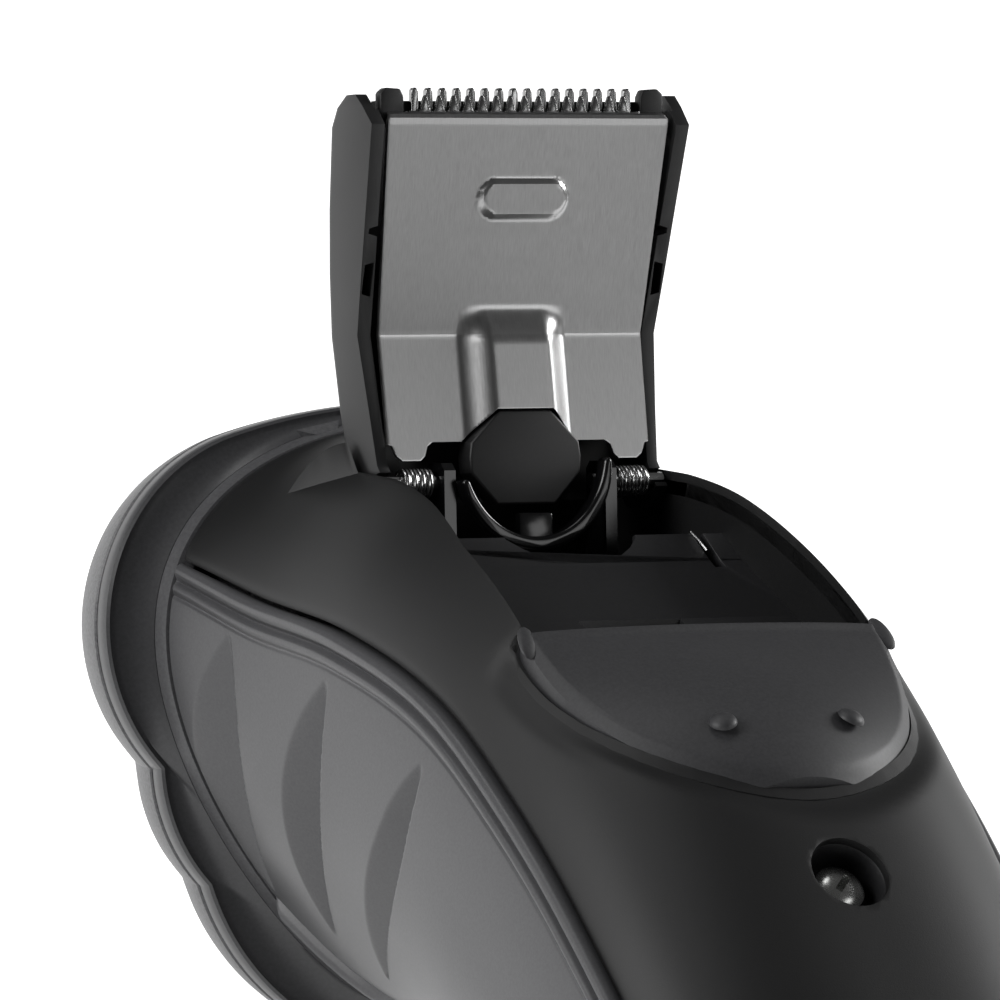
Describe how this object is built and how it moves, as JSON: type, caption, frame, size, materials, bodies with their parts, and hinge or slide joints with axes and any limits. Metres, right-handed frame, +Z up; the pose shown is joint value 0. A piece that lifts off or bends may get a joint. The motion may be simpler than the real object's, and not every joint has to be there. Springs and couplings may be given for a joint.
{
  "type": "electric shaver",
  "caption": "Cordless rotary shaver with three round cutter heads, grey side grips, a half-moon release button and a flip-up long-hair trimmer standing open at its back.",
  "frame": {"origin": "Middle of the bounding box in X and Y, on the surface the shaver lies on.", "axes": "+Z up from the surface, +Y towards the shaving head, +X to the right side seen from behind; the shaver lies on its front with the trimmer open."},
  "size_m": [0.0652, 0.1658, 0.0946],
  "materials": {
    "black_textured_abs": "fine spark-eroded texture, dark",
    "front_gloss_abs": "smooth, dark",
    "grey_satin_abs": "satin grey",
    "grey_acetal": "moulded, grey",
    "head_frame_abs": "fine textured, dark grey",
    "head_cup_abs": "smooth, dark grey",
    "button_abs": "satin, dark grey",
    "inner_black_abs": "plain black moulding",
    "stainless_steel": "brushed",
    "cell_sleeve": "heat-shrink sleeve",
    "circuit_laminate": "solder-masked glass-fibre laminate",
    "lens_acrylic": "clear green tinted, polished"
  },
  "bodies": {
    "body": {"back_shell": "black_textured_abs", "front_shell": "front_gloss_abs", "left_grip_panel": "grey_satin_abs", "right_grip_panel": "grey_satin_abs", "neck_collar": "grey_acetal", "tail_cap": "front_gloss_abs", "charge_inlet": "inner_black_abs", "inlet_pin_left": "stainless_steel", "inlet_pin_right": "stainless_steel", "recess_floor": "inner_black_abs", "hinge_post_left": "inner_black_abs", "hinge_post_right": "inner_black_abs", "hinge_pin_left": "stainless_steel", "hinge_pin_right": "stainless_steel", "trimmer_spring_left": "stainless_steel", "trimmer_spring_right": "stainless_steel", "drive_fork": "inner_black_abs", "button_spring": "stainless_steel", "screw_well": "inner_black_abs", "rear_screw": "stainless_steel", "head_rear_frame": "head_cup_abs", "motor_can": "stainless_steel", "battery_cell": "cell_sleeve", "circuit_board": "circuit_laminate", "charge_lens": "lens_acrylic"},
    "head_front": {"head_front_frame": "head_frame_abs"},
    "drive_rotor": {"sun_gear": "grey_acetal", "motor_shaft": "stainless_steel"},
    "trimmer": {"trimmer_cover": "black_textured_abs", "trimmer_plate": "stainless_steel", "trimmer_comb": "stainless_steel", "comb_end_left": "stainless_steel", "comb_end_right": "stainless_steel", "drive_block": "inner_black_abs"},
    "moving_blade": {"trimmer_blade": "stainless_steel"},
    "trimmer_release": {"release_button": "button_abs", "button_dot_left": "button_abs", "button_dot_right": "button_abs"},
    "power_key": {"power_button": "button_abs"},
    "guard_left": {"guard_left": "stainless_steel", "guard_cap_left": "head_frame_abs"},
    "rotor_left": {"cutter_left": "stainless_steel", "spindle_left": "grey_acetal", "head_gear_left": "grey_acetal"},
    "guard_right": {"guard_right": "stainless_steel", "guard_cap_right": "head_frame_abs"},
    "rotor_right": {"cutter_right": "stainless_steel", "spindle_right": "grey_acetal", "head_gear_right": "grey_acetal"},
    "guard_lower": {"guard_lower": "stainless_steel", "guard_cap_lower": "head_frame_abs"},
    "rotor_lower": {"cutter_lower": "stainless_steel", "spindle_lower": "grey_acetal", "head_gear_lower": "grey_acetal"}
  },
  "joints": [
    {"name": "trimmer_hinge", "type": "hinge", "parent": "body", "child": "trimmer", "pos_m": [0, 0.05169, 0.06164], "axis": [1, 0, 0], "range_deg": [0, 105], "stiffness_Nm_per_rad": 0.002},
    {"name": "blade_slide", "type": "slide", "parent": "trimmer", "child": "moving_blade", "axis": [1, 0, 0], "range_m": [-0.0007, 0.0007]},
    {"name": "release_press", "type": "slide", "parent": "body", "child": "trimmer_release", "axis": [0, -0.1349, -0.9909], "range_m": [0, 0.0012], "stiffness_N_per_m": 300},
    {"name": "power_press", "type": "slide", "parent": "body", "child": "power_key", "axis": [0, -0.0165, 0.9999], "range_m": [0, 0.0006], "stiffness_N_per_m": 500},
    {"name": "head_flip", "type": "hinge", "parent": "body", "child": "head_front", "pos_m": [0, 0.07815, 0.05664], "axis": [1, 0, 0], "range_deg": [0, 100]},
    {"name": "drive_spin", "type": "hinge", "parent": "body", "child": "drive_rotor", "pos_m": [0, 0.06301, 0.0327], "axis": [0, 0.8679, -0.4967], "continuous": true},
    {"name": "rotor_spin_left", "type": "hinge", "parent": "body", "child": "rotor_left", "pos_m": [-0.0165, 0.06966, 0.03868], "axis": [0, 0.8679, -0.4967], "continuous": true},
    {"name": "rotor_spin_right", "type": "hinge", "parent": "body", "child": "rotor_right", "pos_m": [0.0165, 0.06966, 0.03868], "axis": [0, 0.8679, -0.4967], "continuous": true},
    {"name": "rotor_spin_lower", "type": "hinge", "parent": "body", "child": "rotor_lower", "pos_m": [0, 0.05625, 0.01525], "axis": [0, 0.8679, -0.4967], "continuous": true},
    {"name": "guard_float_left", "type": "slide", "parent": "head_front", "child": "guard_left", "axis": [0, -0.8679, 0.4967], "range_m": [0, 0.0008], "stiffness_N_per_m": 200},
    {"name": "guard_float_right", "type": "slide", "parent": "head_front", "child": "guard_right", "axis": [0, -0.8679, 0.4967], "range_m": [0, 0.0008], "stiffness_N_per_m": 200},
    {"name": "guard_float_lower", "type": "slide", "parent": "head_front", "child": "guard_lower", "axis": [0, -0.8679, 0.4967], "range_m": [0, 0.0008], "stiffness_N_per_m": 200}
  ],
  "couplings": [
    {"joint": "rotor_spin_left", "follows": "drive_spin", "ratio": -1.2083},
    {"joint": "rotor_spin_right", "follows": "drive_spin", "ratio": -1.2083},
    {"joint": "rotor_spin_lower", "follows": "drive_spin", "ratio": -1.2083}
  ]
}
